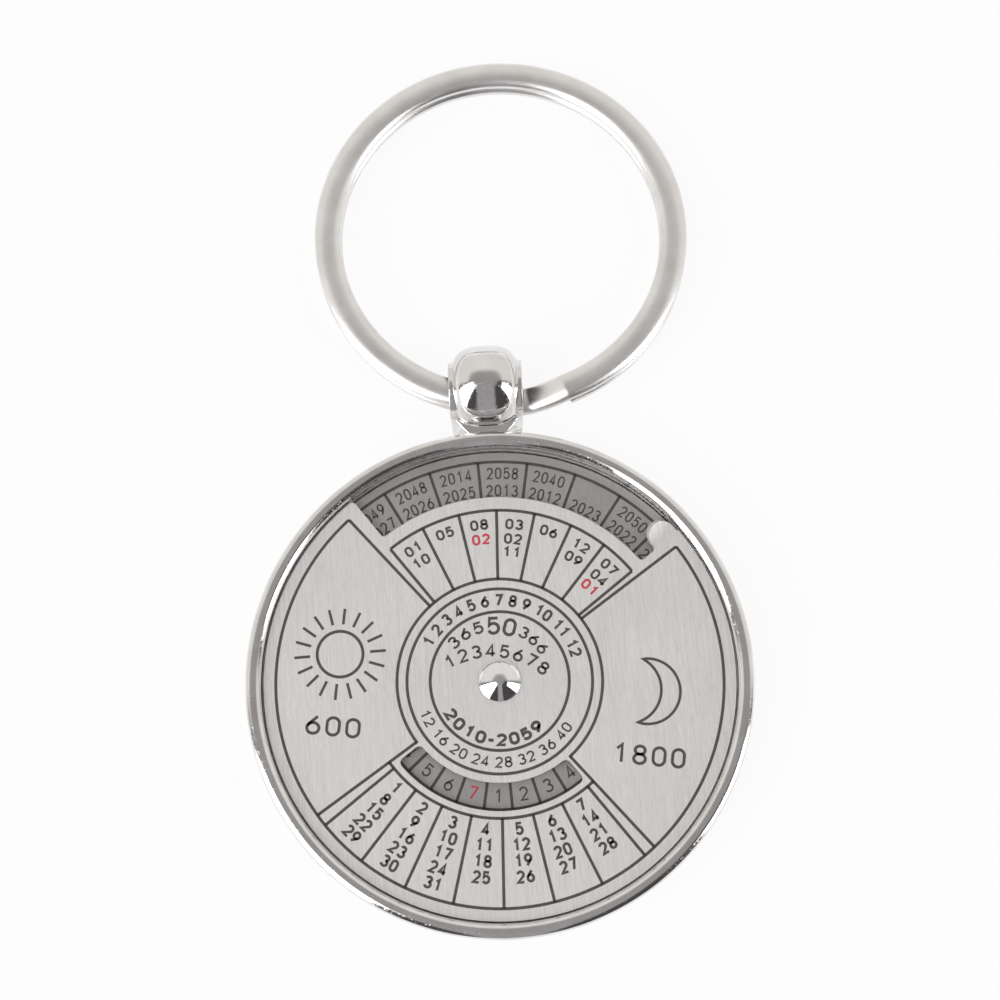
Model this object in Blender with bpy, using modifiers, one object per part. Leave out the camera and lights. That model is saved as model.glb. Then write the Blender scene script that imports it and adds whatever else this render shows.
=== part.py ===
"""Perpetual calendar keyring, modelled piece by piece at its real size.

A die-cast dish with a bail holds two stacked steel plates on a rivet. The upper plate turns over the lower one,
and a split ring swings in the bail. The dial faces +Z, the bail points to +Y and the origin is the centre of the
flat back. Lengths are in metres and angles in degrees.
"""

import math

import bmesh
import bpy
from mathutils import Vector

# Case: a shallow round dish with a half-round rim
CASE_RADIUS = 0.0200
CASE_HEIGHT = 0.0044
RIM_WIDTH = 0.00125
WALL_BULGE = 0.00015
BACK_EDGE_RADIUS = 0.0009
FLOOR_THICKNESS = 0.0015
FLOOR_FILLET = 0.00025
TAIL_POCKET_RADIUS = 0.0026
TAIL_POCKET_DEPTH = 0.0009

# Bail: a cast bead with a flared bore, a sleeve round the bore and a neck to the rim
BAIL_RADIUS = 0.00322
BAIL_WIDTH = 0.0060
BAIL_SHOULDER_POWER = 2.8
BAIL_DISTANCE = 0.02395
BAIL_CLEARANCE_BELOW = 0.0001
BORE_RADIUS = 0.0021
BORE_MOUTH_RADIUS = 0.00222
BORE_SETBACK = 0.0003
BORE_DROP = 0.00025
SLEEVE_WALL = 0.0003
SLEEVE_WIDTH = 0.0059
NECK_BASE_WIDTH = 0.0057
NECK_TOP_WIDTH = 0.0052
NECK_ROOT_TOP_WIDTH = 0.0029
NECK_TOP = 0.0030
NECK_EDGE_RADIUS = 0.0004

# Clearances between stacked, fitted and turning pieces
SEAT_GAP = 0.0001
TURNING_GAP = 0.00015
OVERRUN = 0.0005

# Largest share of a window's width that the fillet in its corner takes
CORNER_SHARE = 0.3

# Adhesive pad under the lower plate
PAD_THICKNESS = 0.00020
PAD_INNER_RADIUS = 0.0042
PAD_EDGE_MARGIN = 0.0012

# Year plate, the lower plate
YEAR_PLATE_THICKNESS = 0.0005
YEAR_PLATE_EDGE_GAP = 0.00012
YEAR_PLATE_TURN = 3.45

# Friction washer between the plates
WASHER_RADIUS = 0.0032
WASHER_THICKNESS = 0.0003

# Date plate, the upper plate that turns
DATE_PLATE_THICKNESS = 0.0006
DATE_PLATE_EDGE_GAP = 0.0002
DATE_PLATE_TURN = 8.1
PLATE_EDGE_CHAMFER = 0.00008
YEAR_WINDOW_INNER_RADIUS = 0.0147
YEAR_WINDOW_HALF_ANGLE = 44.5
YEAR_WINDOW_CORNER = 0.00035
DAY_WINDOW_INNER_RADIUS = 0.00797
DAY_WINDOW_OUTER_RADIUS = 0.01017
DAY_WINDOW_HALF_ANGLE = 46.25
DAY_WINDOW_CORNER = 0.00045

# Thumb tab at the clockwise end of the year window
TAB_HALF_WIDTH = 0.00112
TAB_EDGE_MARGIN = 0.00004
TAB_REACH = 0.0018
TAB_ROOT = 0.0005
TAB_FILLET = 0.00045
TAB_THICKNESS = 0.00056
TAB_RISE = 0.00045

# Rivet that holds the two plates together, with the burr under its tail
RIVET_HEAD_RADIUS = 0.00165
RIVET_HEAD_HEIGHT = 0.00076
RIVET_SHANK_RADIUS = 0.00085
RIVET_TAIL_RADIUS = 0.00145
RIVET_TAIL_THICKNESS = 0.0005
RIVET_BORE_RADIUS = 0.00045
RIVET_BORE_DEPTH = 0.0008
BURR_RADIUS = 0.0021
BURR_THICKNESS = 0.0003

# Split ring: one flattened wire wound into two turns
RING_RADIUS = 0.0152
WIRE_WIDTH = 0.0022
WIRE_THICKNESS = 0.0010
WIRE_EDGE_POWER = 2.2
TURN_GAP = 0.00046
TOP_END_ANGLE = 12.8
LOWER_END_ANGLE = 26.9
RING_LEAN = 7.5
RING_SETBACK = 0.0007
RING_TABLE_GAP = 0.00005

# Facets
TURNED_STEPS = 96
SMALL_STEPS = 36
ARC_STEPS = 6
WALL_STEPS = 3
FINE_ARC_STEPS = 44
WIRE_STEP_ANGLE = 6.0
WIRE_SECTION_POINTS = 12
MERGE_DISTANCE = 0.000001
SHARP_ANGLE = 35.0

# Heights of the stack, from the back of the case upwards
PAD_BOTTOM = FLOOR_THICKNESS + SEAT_GAP
YEAR_PLATE_BOTTOM = PAD_BOTTOM + PAD_THICKNESS + SEAT_GAP
YEAR_PLATE_TOP = YEAR_PLATE_BOTTOM + YEAR_PLATE_THICKNESS
WASHER_BOTTOM = YEAR_PLATE_TOP + SEAT_GAP
DATE_PLATE_BOTTOM = WASHER_BOTTOM + WASHER_THICKNESS + SEAT_GAP
DATE_PLATE_TOP = DATE_PLATE_BOTTOM + DATE_PLATE_THICKNESS
RIVET_HEAD_BOTTOM = DATE_PLATE_TOP + SEAT_GAP
BURR_BOTTOM = YEAR_PLATE_BOTTOM - SEAT_GAP - BURR_THICKNESS
RIVET_TAIL_TOP = BURR_BOTTOM - SEAT_GAP
RIVET_TAIL_BOTTOM = RIVET_TAIL_TOP - RIVET_TAIL_THICKNESS

# Radii that follow from the pieces they meet
WALL_RADIUS = CASE_RADIUS - RIM_WIDTH
YEAR_PLATE_RADIUS = WALL_RADIUS - YEAR_PLATE_EDGE_GAP
DATE_PLATE_RADIUS = WALL_RADIUS - DATE_PLATE_EDGE_GAP
PLATE_HOLE_RADIUS = RIVET_SHANK_RADIUS + TURNING_GAP
PAD_RADIUS = YEAR_PLATE_RADIUS - PAD_EDGE_MARGIN

# Bail and ring places that follow from the bore
BAIL_HEIGHT = BAIL_CLEARANCE_BELOW + BAIL_RADIUS
BORE_DISTANCE = BAIL_DISTANCE - BORE_SETBACK
BORE_HEIGHT = BAIL_HEIGHT - BORE_DROP
SLEEVE_RADIUS = BORE_RADIUS + SLEEVE_WALL
RING_DISTANCE = BORE_DISTANCE - RING_SETBACK
WIRE_CIRCLE_RADIUS = RING_RADIUS - WIRE_WIDTH / 2
TURN_PITCH = WIRE_THICKNESS + TURN_GAP
RING_THICKNESS = WIRE_THICKNESS + TURN_PITCH


def clear_scene():
    """Remove the objects and collections that a new file opens with."""
    for old in list(bpy.data.objects):
        bpy.data.objects.remove(old, do_unlink=True)
    for old in list(bpy.data.collections):
        bpy.data.collections.remove(old)


def new_collection(name):
    """Make a collection in the scene."""
    collection = bpy.data.collections.new(name)
    bpy.context.scene.collection.children.link(collection)
    return collection


def new_material(name, colour, roughness, metallic):
    """Make a Principled material with a plain colour."""
    material = bpy.data.materials.new(name)
    material.use_nodes = True
    shader = material.node_tree.nodes["Principled BSDF"]
    shader.inputs["Base Color"].default_value = (*colour, 1.0)
    shader.inputs["Roughness"].default_value = roughness
    shader.inputs["Metallic"].default_value = metallic
    material.diffuse_color = (*colour, 1.0)
    return material


def add_object(name, data, collection):
    """Link a new object into a collection."""
    thing = bpy.data.objects.new(name, data)
    collection.objects.link(thing)
    return thing


def mark_as_tool(thing):
    """Show a cutter, a joined shape or a guide as wire and keep it out of renders."""
    thing.display_type = "WIRE"
    thing.hide_render = True


def chain_mesh(name, points, closed):
    """Make a mesh that is one chain of edges."""
    count = len(points)
    edges = [(index, index + 1) for index in range(count - 1)]
    if closed:
        edges.append((count - 1, 0))
    mesh = bpy.data.meshes.new(name)
    mesh.from_pydata(points, edges, [])
    return mesh


def turned(name, profile, steps, collection, closed=False):
    """Turn a profile of (radius, height) points about Z. It runs down the outer side."""
    points = [(radius, 0, height) for radius, height in profile]
    thing = add_object(name, chain_mesh(name, points, closed), collection)
    screw = thing.modifiers.new("Turn", "SCREW")
    screw.axis = "Z"
    screw.angle = math.tau
    screw.steps = steps
    screw.render_steps = steps
    screw.use_merge_vertices = True
    screw.merge_threshold = MERGE_DISTANCE
    return thing


def turned_ring(name, inner, outer, bottom, top, steps, collection, chamfer=0):
    """Turn a flat ring, such as a washer or a plate with a hole, with a chamfer on its upper outer edge."""
    profile = [(outer, bottom), (inner, bottom), (inner, top), (outer - chamfer, top)]
    if chamfer:
        profile.append((outer, top - chamfer))
    return turned(name, profile, steps, collection, closed=True)


def prism(name, outline, bottom, top, collection):
    """Raise a flat outline of (x, y) points into a closed prism."""
    mesh = bpy.data.meshes.new(name)
    shape = bmesh.new()
    corners = [shape.verts.new((x, y, bottom)) for x, y in outline]
    floor = shape.faces.new(corners)
    raised = bmesh.ops.extrude_face_region(shape, geom=[floor])
    lifted = [item for item in raised["geom"] if isinstance(item, bmesh.types.BMVert)]
    bmesh.ops.translate(shape, verts=lifted, vec=(0, 0, top - bottom))
    bmesh.ops.recalc_face_normals(shape, faces=shape.faces)
    shape.to_mesh(mesh)
    shape.free()
    return add_object(name, mesh, collection)


def combine(thing, tool, operation):
    """Join a shape to a piece or cut it away, and mark it as a tool."""
    boolean = thing.modifiers.new(tool.name, "BOOLEAN")
    boolean.operation = operation
    boolean.solver = "EXACT"
    boolean.object = tool
    mark_as_tool(tool)


def finish(thing, material):
    """Apply a piece's modifiers, shade it smooth with sharp corners and give it its material."""
    bpy.context.view_layer.update()
    depsgraph = bpy.context.evaluated_depsgraph_get()
    mesh = bpy.data.meshes.new_from_object(thing.evaluated_get(depsgraph))
    thing.modifiers.clear()
    thing.data = mesh
    mesh.name = thing.name
    mesh.shade_smooth()
    mesh.set_sharp_from_angle(angle=math.radians(SHARP_ANGLE))
    mesh.materials.clear()
    mesh.materials.append(material)


def polar(radius, angle):
    """Give the (x, y) point at a radius and an angle, anticlockwise from +X."""
    turn = math.radians(angle)
    return (radius * math.cos(turn), radius * math.sin(turn))


def arc(centre, radius, start, end, steps):
    """Give points along an arc from one angle to another, both ends included."""
    points = []
    for index in range(steps + 1):
        x, y = polar(radius, start + (end - start) * index / steps)
        points.append((centre[0] + x, centre[1] + y))
    return points


def inner_corner_angle(radius, corner):
    """Angle from a radial edge to the centre of a fillet that rests on an inner arc from outside."""
    return math.degrees(math.asin(corner / (radius + corner)))


def outer_corner_angle(radius, corner):
    """Angle from a radial edge to the centre of a fillet that rests on an outer arc from inside."""
    return math.degrees(math.asin(corner / (radius - corner)))


def case_profile():
    """Half section of the dish, from its pocketed floor over the rim and down to the flat back."""
    pocket_floor = FLOOR_THICKNESS - TAIL_POCKET_DEPTH
    bead_radius = RIM_WIDTH / 2
    bead_height = CASE_HEIGHT - bead_radius
    bead_distance = CASE_RADIUS - bead_radius
    fillet_distance = WALL_RADIUS - FLOOR_FILLET
    fillet_height = FLOOR_THICKNESS + FLOOR_FILLET
    foot_radius = CASE_RADIUS - WALL_BULGE
    edge_distance = foot_radius - BACK_EDGE_RADIUS
    profile = [(0, pocket_floor), (TAIL_POCKET_RADIUS, pocket_floor), (TAIL_POCKET_RADIUS, FLOOR_THICKNESS)]
    profile += arc((fillet_distance, fillet_height), FLOOR_FILLET, -90, 0, WALL_STEPS)
    profile += arc((bead_distance, bead_height), bead_radius, 180, 0, ARC_STEPS * 2 - 2)
    wall_drop = bead_height - BACK_EDGE_RADIUS
    for index in range(1, WALL_STEPS):
        share = index / WALL_STEPS
        profile.append((CASE_RADIUS - WALL_BULGE * share ** 2, bead_height - wall_drop * share))
    profile += arc((edge_distance, BACK_EDGE_RADIUS), BACK_EDGE_RADIUS, 0, -90, ARC_STEPS)
    profile.append((0, 0))
    return profile


def bail_bead(tools):
    """The cast bead of the bail, turned about X with square shoulders."""
    profile = []
    for index in range(FINE_ARC_STEPS // 2 + 1):
        turn = math.pi * index / (FINE_ARC_STEPS // 2)
        across = abs(math.sin(turn)) ** (2 / BAIL_SHOULDER_POWER)
        along = math.copysign(abs(math.cos(turn)) ** (2 / BAIL_SHOULDER_POWER), math.cos(turn))
        profile.append((BAIL_RADIUS * across, BAIL_WIDTH / 2 * along))
    profile[0] = (0, BAIL_WIDTH / 2)
    profile[-1] = (0, -BAIL_WIDTH / 2)
    bead = turned("bail_bead_shape", profile, SMALL_STEPS, tools)
    bead.location = (0, BAIL_DISTANCE, BAIL_HEIGHT)
    bead.rotation_euler = (0, math.radians(90), 0)
    return bead


def bail_sleeve(tools):
    """The straight sleeve round the bore, whose ends are the bail's flat sides."""
    half = SLEEVE_WIDTH / 2
    profile = [(0, half), (SLEEVE_RADIUS, half), (SLEEVE_RADIUS, -half), (0, -half)]
    sleeve = turned("bail_sleeve_shape", profile, SMALL_STEPS, tools)
    sleeve.location = (0, BORE_DISTANCE, BORE_HEIGHT)
    sleeve.rotation_euler = (0, math.radians(90), 0)
    return sleeve


def bail_neck(tools):
    """The neck from the rim to the bore, whose flanks slope outwards and widen towards the bore."""
    root = CASE_RADIUS - RIM_WIDTH / 2
    underside = BORE_HEIGHT - SLEEVE_RADIUS
    mesh = bpy.data.meshes.new("bail_neck_shape")
    shape = bmesh.new()
    bmesh.ops.create_cube(shape, size=1)
    for corner in shape.verts:
        side, along, up = corner.co
        if up < 0:
            width = NECK_BASE_WIDTH
        elif along < 0:
            width = NECK_ROOT_TOP_WIDTH
        else:
            width = NECK_TOP_WIDTH
        distance = root if along < 0 else BORE_DISTANCE
        height = underside if up < 0 else NECK_TOP
        corner.co = (side * width, distance, height)
    shape.to_mesh(mesh)
    shape.free()
    neck = add_object("bail_neck_shape", mesh, tools)
    bevel = neck.modifiers.new("Round edges", "BEVEL")
    bevel.width = NECK_EDGE_RADIUS
    bevel.segments = 3
    return neck


def bail_bore(tools):
    """The bore, which flares from its middle towards both mouths."""
    reach = BAIL_WIDTH / 2 + OVERRUN
    flare = BORE_MOUTH_RADIUS - BORE_RADIUS
    profile = [(0, reach)]
    for index in range(ARC_STEPS + 1):
        along = reach * (1 - 2 * index / ARC_STEPS)
        share = (along / (BAIL_WIDTH / 2)) ** 2
        profile.append((BORE_RADIUS + flare * share, along))
    profile.append((0, -reach))
    bore = turned("bail_bore_cutter", profile, SMALL_STEPS, tools)
    bore.location = (0, BORE_DISTANCE, BORE_HEIGHT)
    bore.rotation_euler = (0, math.radians(90), 0)
    return bore


def make_case(parts, tools):
    """The die-cast dish with its bail."""
    case = turned("case", case_profile(), TURNED_STEPS, parts)
    combine(case, bail_neck(tools), "UNION")
    combine(case, bail_sleeve(tools), "UNION")
    combine(case, bail_bead(tools), "UNION")
    combine(case, bail_bore(tools), "DIFFERENCE")
    finish(case, new_material("chrome_cast", (0.78, 0.77, 0.76), 0.12, 1.0))


def make_adhesive_pad(parts):
    """The double-sided pad that holds the lower plate in the dish."""
    top = PAD_BOTTOM + PAD_THICKNESS
    pad = turned_ring("adhesive_pad", PAD_INNER_RADIUS, PAD_RADIUS, PAD_BOTTOM, top, TURNED_STEPS // 2, parts)
    finish(pad, new_material("adhesive_foam", (0.85, 0.84, 0.80), 0.9, 0.0))


def make_year_plate(parts):
    """The lower plate with the years and the weekdays."""
    plate = turned_ring("year_plate", PLATE_HOLE_RADIUS, YEAR_PLATE_RADIUS, YEAR_PLATE_BOTTOM, YEAR_PLATE_TOP,
                        TURNED_STEPS, parts, PLATE_EDGE_CHAMFER)
    plate.rotation_euler = (0, 0, -math.radians(YEAR_PLATE_TURN))
    finish(plate, new_material("steel_satin", (0.42, 0.41, 0.40), 0.4, 1.0))


def make_friction_washer(parts):
    """The washer that keeps the plates apart and makes the upper one turn stiffly."""
    top = WASHER_BOTTOM + WASHER_THICKNESS
    washer = turned_ring("friction_washer", PLATE_HOLE_RADIUS, WASHER_RADIUS, WASHER_BOTTOM, top,
                         SMALL_STEPS, parts)
    finish(washer, new_material("nylon", (0.88, 0.87, 0.82), 0.5, 0.0))


def year_window(tools):
    """The window over the years, open at the plate's outer edge, with one rounded plate corner."""
    inner = YEAR_WINDOW_INNER_RADIUS
    outer = DATE_PLATE_RADIUS + OVERRUN
    corner = min(YEAR_WINDOW_CORNER, CORNER_SHARE * (DATE_PLATE_RADIUS - inner))
    left = 90 + YEAR_WINDOW_HALF_ANGLE
    right = 90 - YEAR_WINDOW_HALF_ANGLE
    inset = inner_corner_angle(inner, corner)
    outline = arc((0, 0), inner, right + inset, left - inset, FINE_ARC_STEPS)
    outline += arc(polar(inner + corner, left - inset), corner, left - inset + 180, left + 90, ARC_STEPS // 2)
    outset = outer_corner_angle(DATE_PLATE_RADIUS, corner)
    tip = polar(DATE_PLATE_RADIUS - corner, left + outset)
    outline += arc(tip, corner, left - 90, left + outset, ARC_STEPS // 2)
    outline += arc((0, 0), outer, left + outset, right, FINE_ARC_STEPS)
    outline += arc(polar(inner + corner, right + inset), corner, right - 90, right + inset - 180, ARC_STEPS // 2)
    unique = outline[:-1]
    return prism("year_window_cutter", unique, DATE_PLATE_BOTTOM - OVERRUN, DATE_PLATE_TOP + OVERRUN, tools)


def day_window(tools):
    """The curved window over the weekdays, with rounded corners."""
    inner = DAY_WINDOW_INNER_RADIUS
    outer = DAY_WINDOW_OUTER_RADIUS
    corner = min(DAY_WINDOW_CORNER, CORNER_SHARE * (outer - inner))
    left = 270 - DAY_WINDOW_HALF_ANGLE
    right = 270 + DAY_WINDOW_HALF_ANGLE
    near = inner_corner_angle(inner, corner)
    far = outer_corner_angle(outer, corner)
    steps = ARC_STEPS // 2
    outline = arc((0, 0), outer, left + far, right - far, FINE_ARC_STEPS)
    outline += arc(polar(outer - corner, right - far), corner, right - far, right + 90, steps)[1:]
    outline += arc(polar(inner + corner, right - near), corner, right + 90, right - near + 180, steps)
    outline += arc((0, 0), inner, right - near, left + near, FINE_ARC_STEPS)[1:]
    outline += arc(polar(inner + corner, left + near), corner, left + near + 180, left + 270, steps)[1:]
    outline += arc(polar(outer - corner, left + far), corner, left - 90, left + far, steps)[:-1]
    return prism("day_window_cutter", outline, DATE_PLATE_BOTTOM - OVERRUN, DATE_PLATE_TOP + OVERRUN, tools)


def tab_distances():
    """Places of the thumb tab's rows, from its root in the plate to its tip, about the lobe's centre."""
    window_end = TAB_HALF_WIDTH - TAB_REACH
    distances = [window_end - TAB_ROOT]
    for index in range(ARC_STEPS):
        distances.append(window_end * (1 - index / ARC_STEPS))
    for index in range(ARC_STEPS + 1):
        distances.append(TAB_HALF_WIDTH * math.sin(math.radians(90) * index / ARC_STEPS))
    return distances


def tab_sides(distance):
    """Outer and inner side of the thumb tab at a row. A fillet joins the inner side to the window's end."""
    fillet_distance = TAB_HALF_WIDTH - TAB_REACH + TAB_FILLET
    fillet_side = math.sqrt((TAB_HALF_WIDTH + TAB_FILLET) ** 2 - fillet_distance ** 2)
    contact = fillet_distance * TAB_HALF_WIDTH / (TAB_HALF_WIDTH + TAB_FILLET)
    lobe = math.sqrt(max(TAB_HALF_WIDTH ** 2 - distance ** 2, 0))
    outer = -TAB_HALF_WIDTH if distance < 0 else -lobe
    if distance >= contact:
        return outer, lobe
    along = max(distance - fillet_distance, -TAB_FILLET)
    return outer, fillet_side - math.sqrt(TAB_FILLET ** 2 - along ** 2)


def tab_rise(distance):
    """Height by which the thumb tab has curled up at a row."""
    beyond = max(distance - TAB_HALF_WIDTH + TAB_REACH, 0)
    return TAB_RISE * (beyond / TAB_REACH) ** 2


def thumb_tab(tools):
    """The round-ended tab, a sheet that curls upwards from the window's end, given the metal's thickness."""
    mesh = bpy.data.meshes.new("thumb_tab_shape")
    shape = bmesh.new()
    rows = []
    for distance in tab_distances():
        outer, inner = tab_sides(distance)
        row = []
        for index in range(ARC_STEPS + 1):
            side = outer + (inner - outer) * index / ARC_STEPS
            row.append(shape.verts.new((distance, side, tab_rise(distance))))
        rows.append(row)
    for near, far in zip(rows, rows[1:]):
        for index in range(ARC_STEPS):
            shape.faces.new((near[index], far[index], far[index + 1], near[index + 1]))
    bmesh.ops.remove_doubles(shape, verts=shape.verts, dist=MERGE_DISTANCE)
    shape.to_mesh(mesh)
    shape.free()
    tab = add_object("thumb_tab_shape", mesh, tools)
    solid = tab.modifiers.new("Metal", "SOLIDIFY")
    solid.thickness = TAB_THICKNESS
    solid.offset = 0
    centre_radius = DATE_PLATE_RADIUS - TAB_EDGE_MARGIN - TAB_HALF_WIDTH
    window_end = 90 - YEAR_WINDOW_HALF_ANGLE
    angle = window_end + math.degrees((TAB_REACH - TAB_HALF_WIDTH) / centre_radius)
    x, y = polar(centre_radius, angle)
    tab.location = (x, y, (DATE_PLATE_BOTTOM + DATE_PLATE_TOP) / 2)
    tab.rotation_euler = (0, 0, math.radians(angle + 90))
    return tab


def make_date_plate(parts, tools):
    """The upper plate with its two windows, which turns on the rivet."""
    plate = turned_ring("date_plate", PLATE_HOLE_RADIUS, DATE_PLATE_RADIUS, DATE_PLATE_BOTTOM, DATE_PLATE_TOP,
                        TURNED_STEPS, parts, PLATE_EDGE_CHAMFER)
    shapes = [(year_window(tools), "DIFFERENCE"), (day_window(tools), "DIFFERENCE"), (thumb_tab(tools), "UNION")]
    for shape, operation in shapes:
        shape.parent = plate
        combine(plate, shape, operation)
    plate.rotation_euler = (0, 0, -math.radians(DATE_PLATE_TURN))
    finish(plate, new_material("steel_brushed", (0.70, 0.69, 0.67), 0.35, 1.0))


def make_rivet(parts):
    """The domed rivet, with a shank through both plates and a rolled, hollow tail."""
    sphere_radius = (RIVET_HEAD_RADIUS ** 2 + RIVET_HEAD_HEIGHT ** 2) / (2 * RIVET_HEAD_HEIGHT)
    sphere_height = RIVET_HEAD_BOTTOM + RIVET_HEAD_HEIGHT - sphere_radius
    head_angle = math.degrees(math.asin(RIVET_HEAD_RADIUS / sphere_radius))
    profile = arc((0, sphere_height), sphere_radius, 90, 90 - head_angle, ARC_STEPS)
    profile[0] = (0, RIVET_HEAD_BOTTOM + RIVET_HEAD_HEIGHT)
    profile.append((RIVET_SHANK_RADIUS, RIVET_HEAD_BOTTOM))
    profile.append((RIVET_SHANK_RADIUS, RIVET_TAIL_TOP))
    profile.append((RIVET_TAIL_RADIUS, RIVET_TAIL_TOP))
    roll = RIVET_TAIL_THICKNESS / 2
    profile += arc((RIVET_TAIL_RADIUS - roll, RIVET_TAIL_TOP - roll), roll, 0, -90, ARC_STEPS // 2)
    profile.append((RIVET_BORE_RADIUS, RIVET_TAIL_BOTTOM))
    profile.append((RIVET_BORE_RADIUS, RIVET_TAIL_BOTTOM + RIVET_BORE_DEPTH))
    profile.append((0, RIVET_TAIL_BOTTOM + RIVET_BORE_DEPTH))
    rivet = turned("rivet", profile, SMALL_STEPS, parts)
    finish(rivet, new_material("chrome_rivet", (0.82, 0.82, 0.82), 0.06, 1.0))


def make_rivet_burr(parts):
    """The small backing washer that the rivet's tail is rolled against."""
    top = BURR_BOTTOM + BURR_THICKNESS
    burr = turned_ring("rivet_burr", PLATE_HOLE_RADIUS, BURR_RADIUS, BURR_BOTTOM, top, SMALL_STEPS, parts)
    finish(burr, new_material("steel_plain", (0.60, 0.60, 0.60), 0.35, 1.0))


def wire_height(turn):
    """Height of the wire at a turn that falls from the upper end: upper turn, step down, lower turn."""
    step_start = LOWER_END_ANGLE - 360
    step_end = TOP_END_ANGLE - 360
    share = (step_start - turn) / (step_start - step_end)
    share = min(max(share, 0), 1)
    eased = share * share * (3 - 2 * share)
    return TURN_PITCH * (0.5 - eased)


def wire_turns():
    """Angles along the wire, from the upper cut end to the lower one, clockwise from the bail."""
    start = TOP_END_ANGLE
    step_start = LOWER_END_ANGLE - 360
    step_end = TOP_END_ANGLE - 360
    end = LOWER_END_ANGLE - 720
    turns = []
    for first, last, finest in ((start, step_start, 1), (step_start, step_end, 3), (step_end, end, 1)):
        count = math.ceil((first - last) / WIRE_STEP_ANGLE) * finest
        turns += [first + (last - first) * index / count for index in range(count)]
    turns.append(end)
    return turns


def wire_points():
    """Centre line of the wire about the point where it runs through the bail."""
    points = []
    for turn in wire_turns():
        x, y = polar(WIRE_CIRCLE_RADIUS, turn - 90)
        points.append(Vector((x, y + WIRE_CIRCLE_RADIUS, wire_height(turn))))
    return points


def least_gap_between_turns(points):
    """Least gap between the two turns of the wire, measured on the centre line's points."""
    away = WIRE_CIRCLE_RADIUS
    least = RING_RADIUS
    for index, point in enumerate(points):
        run = 0
        for later in range(index + 1, len(points)):
            run += (points[later] - points[later - 1]).length
            if run > away:
                least = min(least, (points[later] - point).length)
    return least - WIRE_THICKNESS


def wire_section(tools):
    """The wire's section, a flattened round, as a closed curve."""
    curve = bpy.data.curves.new("wire_section", "CURVE")
    curve.dimensions = "2D"
    spline = curve.splines.new("POLY")
    spline.points.add(WIRE_SECTION_POINTS - 1)
    spline.use_cyclic_u = True
    for index, point in enumerate(spline.points):
        turn = math.tau * index / WIRE_SECTION_POINTS
        wide = math.copysign(abs(math.cos(turn)) ** (2 / WIRE_EDGE_POWER), math.cos(turn))
        thick = math.copysign(abs(math.sin(turn)) ** (2 / WIRE_EDGE_POWER), math.sin(turn))
        point.co = (WIRE_WIDTH / 2 * wide, WIRE_THICKNESS / 2 * thick, 0, 1)
    section = add_object("wire_section", curve, tools)
    mark_as_tool(section)
    return section


def ring_drop_angle():
    """Angle by which the ring falls from the bail so that its far side nears the surface below."""
    reach = 2 * WIRE_CIRCLE_RADIUS + WIRE_WIDTH / 2
    half = RING_THICKNESS / 2
    fall = BORE_HEIGHT - RING_TABLE_GAP
    return math.asin(fall / math.hypot(reach, half)) - math.atan2(half, reach)


def make_split_ring(parts, tools):
    """The split ring, one wire swept through two turns with a step between them."""
    points = wire_points()
    print("least gap between the split ring's turns, in mm:", round(1000 * least_gap_between_turns(points), 3))
    curve = bpy.data.curves.new("split_ring_path", "CURVE")
    curve.dimensions = "3D"
    curve.twist_mode = "Z_UP"
    curve.bevel_mode = "OBJECT"
    curve.bevel_object = wire_section(tools)
    curve.use_fill_caps = True
    spline = curve.splines.new("POLY")
    spline.points.add(len(points) - 1)
    for slot, point in zip(spline.points, points):
        slot.co = (*point, 1)
    path = add_object("split_ring_path", curve, tools)
    bpy.context.view_layer.update()
    depsgraph = bpy.context.evaluated_depsgraph_get()
    mesh = bpy.data.meshes.new_from_object(path.evaluated_get(depsgraph))
    bpy.data.objects.remove(path, do_unlink=True)
    shape = bmesh.new()
    shape.from_mesh(mesh)
    bmesh.ops.remove_doubles(shape, verts=shape.verts, dist=MERGE_DISTANCE)
    bmesh.ops.recalc_face_normals(shape, faces=shape.faces)
    shape.to_mesh(mesh)
    shape.free()
    ring = add_object("split_ring", mesh, parts)
    ring.location = (0, RING_DISTANCE, BORE_HEIGHT)
    ring.rotation_euler = (-ring_drop_angle(), 0, -math.radians(RING_LEAN))
    finish(ring, new_material("steel_ring", (0.66, 0.65, 0.64), 0.28, 1.0))


def main():
    """Build the whole keyring."""
    clear_scene()
    parts = new_collection("perpetual_calendar_keyring")
    tools = new_collection("working_shapes")
    make_case(parts, tools)
    make_adhesive_pad(parts)
    make_year_plate(parts)
    make_friction_washer(parts)
    make_date_plate(parts, tools)
    make_rivet(parts)
    make_rivet_burr(parts)
    make_split_ring(parts, tools)


main()
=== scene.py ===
"""Studio scene of the perpetual calendar keyring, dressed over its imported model.

The dial faces +Z and the bail points to +Y. Lengths are written in millimetres and become metres when a mesh
is made. Angles are in degrees, and those on a dial run clockwise from its top.
"""

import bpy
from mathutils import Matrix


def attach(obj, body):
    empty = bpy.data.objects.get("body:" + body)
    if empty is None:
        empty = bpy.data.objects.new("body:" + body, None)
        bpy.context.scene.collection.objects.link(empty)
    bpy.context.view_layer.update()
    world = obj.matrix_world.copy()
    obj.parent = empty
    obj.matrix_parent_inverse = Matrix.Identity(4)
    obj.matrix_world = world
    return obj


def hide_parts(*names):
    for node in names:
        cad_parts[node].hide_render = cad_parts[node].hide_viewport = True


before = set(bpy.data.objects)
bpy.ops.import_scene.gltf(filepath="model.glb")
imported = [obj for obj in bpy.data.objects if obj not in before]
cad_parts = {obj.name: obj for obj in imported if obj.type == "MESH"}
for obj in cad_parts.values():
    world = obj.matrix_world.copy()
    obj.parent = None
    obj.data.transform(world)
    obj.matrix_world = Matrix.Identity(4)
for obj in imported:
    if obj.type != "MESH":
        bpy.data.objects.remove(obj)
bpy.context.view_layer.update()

import datetime
import math

import bmesh
import bpy
from mathutils import Matrix, Vector

MM = 0.001

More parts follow.
